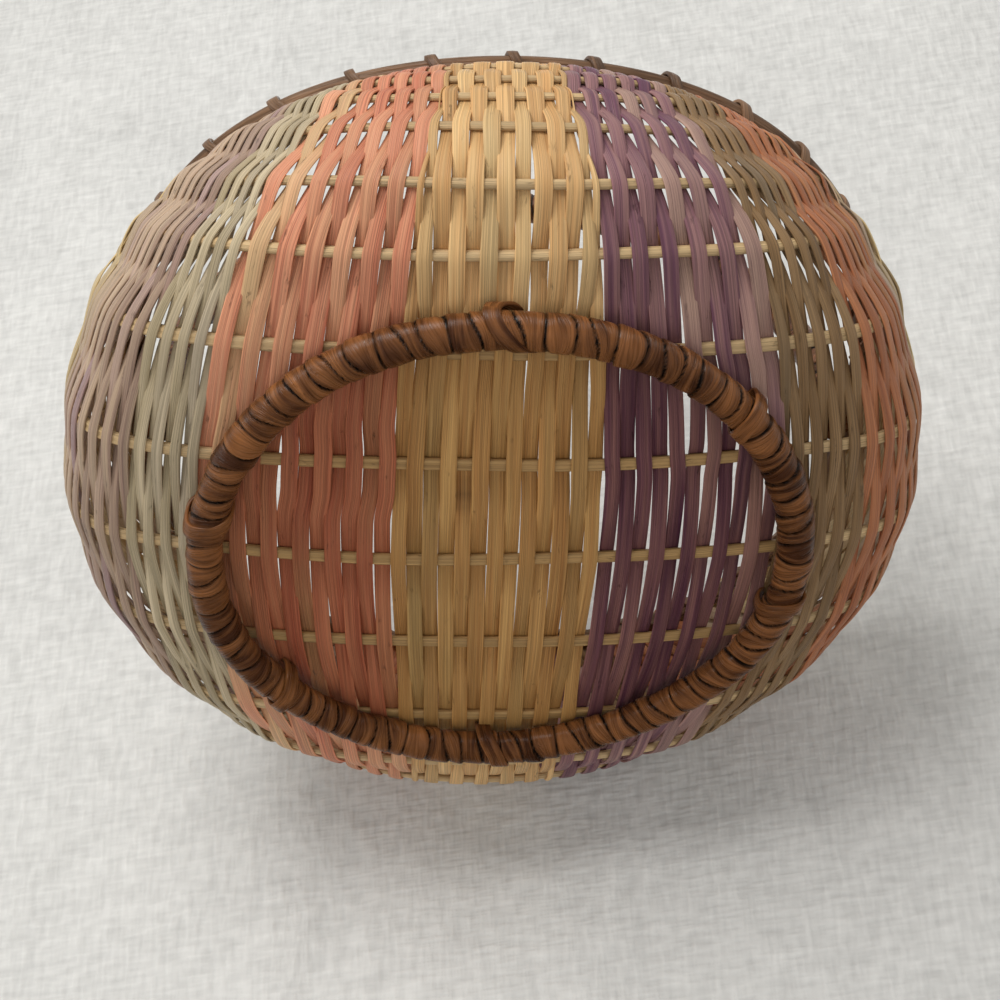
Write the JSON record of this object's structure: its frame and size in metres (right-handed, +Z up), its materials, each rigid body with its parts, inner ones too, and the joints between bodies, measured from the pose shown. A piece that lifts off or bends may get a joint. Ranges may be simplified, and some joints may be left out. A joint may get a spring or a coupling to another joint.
{
  "type": "handled bamboo basket",
  "caption": "Round woven split-bamboo basket with dyed bands, a lashed rim, a wrapped bow handle and a wrapped foot ring.",
  "frame": {"origin": "centre of the foot ring's flat underside, on the surface the basket stands on", "axes": "+Z up through the bowl's mouth, X along the cross rods and through the handle's two ends, Y along the strips"},
  "size_m": [0.236, 0.2358, 0.1768],
  "materials": {
    "strips_natural": "undyed split bamboo, satin",
    "strips_coral": "coral-dyed split bamboo, satin",
    "strips_green": "faded olive-dyed split bamboo, satin",
    "strips_purple": "purple-dyed split bamboo, satin",
    "rods": "undyed bamboo rod, satin",
    "rattan": "brown rattan peel, semi-gloss"
  },
  "bodies": {
    "root": {"strips_natural_left": "strips_natural", "strips_purple_left": "strips_purple", "strips_green_left": "strips_green", "strips_coral_left": "strips_coral", "strips_natural_middle": "strips_natural", "strips_purple_right": "strips_purple", "strips_green_right": "strips_green", "strips_coral_right": "strips_coral", "strips_natural_right": "strips_natural", "rod_middle": "rods", "rod_front_1": "rods", "rod_back_1": "rods", "rod_front_2": "rods", "rod_back_2": "rods", "rod_front_3": "rods", "rod_back_3": "rods", "rod_front_4": "rods", "rod_back_4": "rods", "rod_front_5": "rods", "rod_back_5": "rods", "rod_front_6": "rods", "rod_back_6": "rods", "rod_front_7": "rods", "rod_back_7": "rods", "rod_front_8": "rods", "rod_back_8": "rods", "rod_front_9": "rods", "rod_back_9": "rods", "rim_hoop_outer": "rattan", "rim_hoop_inner": "rattan", "rim_lashing_back": "rattan", "rim_lashing_front": "rattan", "handle": "rattan", "handle_binding_left": "rattan", "handle_binding_right": "rattan", "foot_ring": "rattan", "foot_tie_1": "rattan", "foot_tie_2": "rattan", "foot_tie_3": "rattan", "foot_tie_4": "rattan", "foot_tie_5": "rattan", "foot_tie_6": "rattan"}
  },
  "joints": []
}
